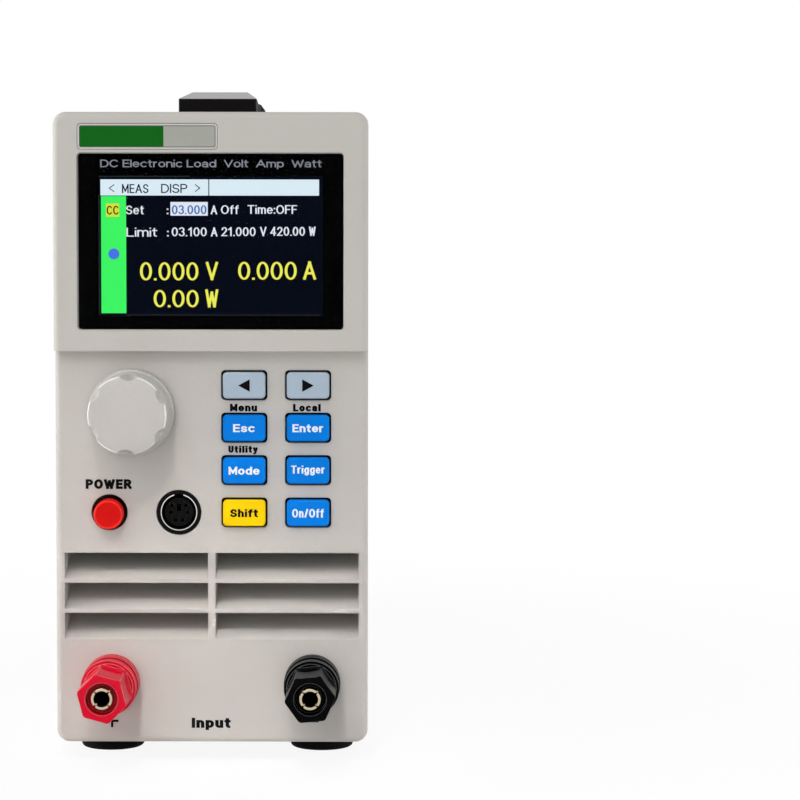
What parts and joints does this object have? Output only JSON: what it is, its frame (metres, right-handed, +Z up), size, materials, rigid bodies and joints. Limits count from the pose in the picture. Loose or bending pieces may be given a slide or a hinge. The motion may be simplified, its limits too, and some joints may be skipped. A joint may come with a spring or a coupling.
{
  "type": "dc electronic load",
  "caption": "Upright bench instrument that sinks direct current: moulded front with display, keys, knob, louvred vents and two binding posts, folded steel case, strap handle.",
  "frame": {"origin": "on the floor under the middle of the whole object", "axes": "+Z up, front panel faces -Y, +X to the right seen from the front"},
  "size_m": [0.082, 0.312, 0.1803],
  "materials": {
    "bezel_plastic": "fine-grained moulded plastic",
    "plate_print": "printed foil",
    "lens_gloss": "tinted clear plastic",
    "display_panel": "display module frame",
    "circuit_board": "solder-masked laminate",
    "black_plastic": "moulded plastic",
    "key_grey": "smooth moulded plastic",
    "key_blue": "smooth moulded plastic",
    "key_yellow": "smooth moulded plastic",
    "knob_plastic": "fine-grained moulded plastic",
    "button_red": "smooth moulded plastic",
    "post_red": "smooth moulded plastic",
    "post_black": "smooth moulded plastic",
    "nickel": "nickel plate",
    "zinc_steel": "zinc-plated steel",
    "copper": "bare copper",
    "case_paint": "textured powder coat",
    "chassis_zinc": "zinc-coated sheet",
    "foot_rubber": "moulded rubber",
    "handle_rubber": "grained soft plastic over steel strip",
    "heat_aluminium": "extruded aluminium",
    "brass_spacer": "turned brass",
    "can_sleeve": "shrink sleeve",
    "core_iron": "varnished laminations",
    "slider_red": "smooth moulded plastic"
  },
  "bodies": {
    "case": {"front_bezel": "bezel_plastic", "nameplate": "plate_print", "display_lens": "lens_gloss", "lcd_module": "display_panel", "front_board": "circuit_board", "key_switches": "black_plastic", "encoder_body": "zinc_steel", "encoder_nut": "nickel", "power_switch": "black_plastic", "sense_socket": "black_plastic", "sense_insert": "black_plastic", "sense_shield": "nickel", "positive_post_base": "post_red", "positive_post_stud": "nickel", "negative_post_base": "post_black", "negative_post_stud": "nickel", "post_nuts": "nickel", "positive_busbar": "copper", "negative_busbar": "copper", "chassis": "chassis_zinc", "cover": "case_paint", "rear_panel": "case_paint", "feet": "foot_rubber", "foot_screws": "zinc_steel", "case_screws": "zinc_steel", "panel_screws": "zinc_steel", "handle_end_caps": "handle_rubber", "fan_frame": "black_plastic", "fan_guard": "zinc_steel", "fan_screws": "zinc_steel", "heatsink": "heat_aluminium", "power_transistors": "black_plastic", "power_board": "circuit_board", "board_standoffs": "brass_spacer", "capacitors": "can_sleeve", "transformer": "core_iron", "mains_inlet": "black_plastic", "voltage_selector": "black_plastic", "serial_port": "nickel"},
    "knob": {"control_knob": "knob_plastic", "encoder_shaft": "zinc_steel"},
    "left_arrow_key": {"left_arrow_key": "key_grey"},
    "right_arrow_key": {"right_arrow_key": "key_grey"},
    "escape_key": {"escape_key": "key_blue"},
    "enter_key": {"enter_key": "key_blue"},
    "mode_key": {"mode_key": "key_blue"},
    "trigger_key": {"trigger_key": "key_blue"},
    "shift_key": {"shift_key": "key_yellow"},
    "output_key": {"output_key": "key_blue"},
    "power_button": {"power_button": "button_red"},
    "positive_clamp": {"positive_clamp_ring": "post_red"},
    "positive_cap": {"positive_post_cap": "post_red"},
    "negative_clamp": {"negative_clamp_ring": "post_black"},
    "negative_cap": {"negative_post_cap": "post_black"},
    "fan_rotor": {"fan_rotor": "black_plastic"},
    "fuse_drawer": {"fuse_drawer": "black_plastic"},
    "selector_slider": {"selector_slider": "slider_red"},
    "handle_grip": {"handle_grip": "handle_rubber"},
    "handle_front_link": {"handle_front_link": "handle_rubber"},
    "handle_rear_link": {"handle_rear_link": "handle_rubber"}
  },
  "joints": [
    {"name": "knob_turn", "type": "hinge", "parent": "case", "child": "knob", "pos_m": [-0.02085, -0.137, 0.0926], "axis": [0, 1, 0], "continuous": true},
    {"name": "left_arrow_press", "type": "slide", "parent": "case", "child": "left_arrow_key", "axis": [0, 1, 0], "range_m": [0, 0.0008], "stiffness_N_per_m": 1500},
    {"name": "right_arrow_press", "type": "slide", "parent": "case", "child": "right_arrow_key", "axis": [0, 1, 0], "range_m": [0, 0.0008], "stiffness_N_per_m": 1500},
    {"name": "escape_press", "type": "slide", "parent": "case", "child": "escape_key", "axis": [0, 1, 0], "range_m": [0, 0.0008], "stiffness_N_per_m": 1500},
    {"name": "enter_press", "type": "slide", "parent": "case", "child": "enter_key", "axis": [0, 1, 0], "range_m": [0, 0.0008], "stiffness_N_per_m": 1500},
    {"name": "mode_press", "type": "slide", "parent": "case", "child": "mode_key", "axis": [0, 1, 0], "range_m": [0, 0.0008], "stiffness_N_per_m": 1500},
    {"name": "trigger_press", "type": "slide", "parent": "case", "child": "trigger_key", "axis": [0, 1, 0], "range_m": [0, 0.0008], "stiffness_N_per_m": 1500},
    {"name": "shift_press", "type": "slide", "parent": "case", "child": "shift_key", "axis": [0, 1, 0], "range_m": [0, 0.0008], "stiffness_N_per_m": 1500},
    {"name": "output_press", "type": "slide", "parent": "case", "child": "output_key", "axis": [0, 1, 0], "range_m": [0, 0.0008], "stiffness_N_per_m": 1500},
    {"name": "power_press", "type": "slide", "parent": "case", "child": "power_button", "axis": [0, 1, 0], "range_m": [0, 0.0026], "stiffness_N_per_m": 800},
    {"name": "positive_cap_travel", "type": "slide", "parent": "case", "child": "positive_clamp", "axis": [0, -1, 0], "range_m": [0, 0.005]},
    {"name": "positive_cap_turn", "type": "hinge", "parent": "positive_clamp", "child": "positive_cap", "pos_m": [-0.0264, -0.15, 0.0213], "axis": [0, -1, 0], "range_deg": [0, 1801]},
    {"name": "negative_cap_travel", "type": "slide", "parent": "case", "child": "negative_clamp", "axis": [0, -1, 0], "range_m": [0, 0.005]},
    {"name": "negative_cap_turn", "type": "hinge", "parent": "negative_clamp", "child": "negative_cap", "pos_m": [0.0264, -0.15, 0.0213], "axis": [0, -1, 0], "range_deg": [0, 1801]},
    {"name": "fan_spin", "type": "hinge", "parent": "case", "child": "fan_rotor", "pos_m": [0, 0.138, 0.0438], "axis": [0, 1, 0], "continuous": true},
    {"name": "fuse_drawer_slide", "type": "slide", "parent": "case", "child": "fuse_drawer", "axis": [0, 1, 0], "range_m": [0, 0.016]},
    {"name": "selector_slide", "type": "slide", "parent": "case", "child": "selector_slider", "axis": [1, 0, 0], "range_m": [0, 0.006]},
    {"name": "handle_lift", "type": "slide", "parent": "case", "child": "handle_grip", "axis": [0, 0, 1], "range_m": [0, 0.013]},
    {"name": "front_strap_tilt", "type": "hinge", "parent": "handle_grip", "child": "handle_front_link", "pos_m": [0, -0.028, 0.1785], "axis": [1, 0, 0], "range_deg": [0, 18.11]},
    {"name": "rear_strap_tilt", "type": "hinge", "parent": "handle_grip", "child": "handle_rear_link", "pos_m": [0, 0.048, 0.1785], "axis": [-1, 0, 0], "range_deg": [0, 18.11]}
  ],
  "couplings": [
    {"joint": "positive_cap_turn", "follows": "positive_cap_travel", "rad_per_m": 6283.2},
    {"joint": "negative_cap_turn", "follows": "negative_cap_travel", "rad_per_m": 6283.2},
    {"joint": "front_strap_tilt", "follows": "handle_lift", "rad_per_m": 24.178},
    {"joint": "rear_strap_tilt", "follows": "handle_lift", "rad_per_m": 24.178}
  ]
}
